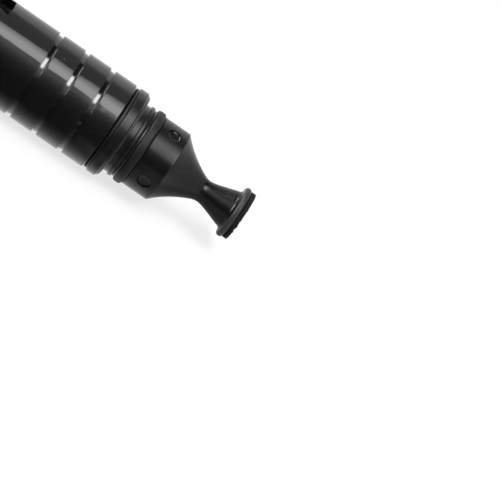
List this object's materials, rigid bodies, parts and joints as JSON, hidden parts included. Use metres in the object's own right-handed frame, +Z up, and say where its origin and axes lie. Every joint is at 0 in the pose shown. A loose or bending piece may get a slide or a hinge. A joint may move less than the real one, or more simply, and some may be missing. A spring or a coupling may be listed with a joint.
{
  "type": "lens cleaning pen",
  "caption": "Lens cleaning pen: grooved barrel, thumb slider that pushes a soft brush out of the rear, and a dished cleaning pad on a flexible nose.",
  "frame": {"origin": "bottom centre of the bounding box, on the surface the pen lies on", "axes": "+X along the pen towards the cleaning pad, +Z up through the thumb slider, +Y to the pen's left when looking towards the pad"},
  "size_m": [0.1108, 0.015, 0.018],
  "materials": {
    "barrel_gloss": "polished black ABS",
    "mouth_plastic": "satin black",
    "guide_plastic": "moulded acetal",
    "spacer_plastic": "satin dark grey",
    "collar_plastic": "dull black",
    "grip_rubber": "dull black",
    "nose_moulding": "flexible semi-matte black",
    "core_plastic": "moulded black",
    "button_plastic": "satin black",
    "carriage_plastic": "moulded black acetal",
    "spring_steel": "bright strip",
    "ferrule_metal": "satin",
    "root_resin": "cured resin",
    "bristle_hair": "soft dark hair",
    "holder_plastic": "satin dark grey",
    "pad_foam": "dense foam",
    "pad_chamois": "chamois with carbon powder"
  },
  "bodies": {
    "handle": {"barrel": "barrel_gloss", "mouth_ring": "mouth_plastic", "guide_sleeve": "guide_plastic", "spacer_ring": "spacer_plastic", "front_collar": "collar_plastic", "cap_grip_ring": "grip_rubber", "nose_core": "core_plastic", "nose_cone": "nose_moulding"},
    "brush_slide": {"slider_button": "button_plastic", "brush_carriage": "carriage_plastic", "detent_spring": "spring_steel", "brush_ferrule": "ferrule_metal", "bristle_root_plug": "root_resin", "bristle_bundle": "bristle_hair"},
    "tip": {"tip_stem": "nose_moulding", "pad_holder": "holder_plastic", "backing_foam": "pad_foam", "cleaning_pad": "pad_chamois"}
  },
  "joints": [
    {"name": "brush_travel", "type": "slide", "parent": "handle", "child": "brush_slide", "axis": [-1, 0, 0], "range_m": [0, 0.024]},
    {"name": "tip_flex", "type": "hinge", "parent": "handle", "child": "tip", "pos_m": [0.04839, 0, 0.0075], "axis": [0, 1, 0], "range_deg": [-8, 8], "stiffness_Nm_per_rad": 0.03}
  ]
}
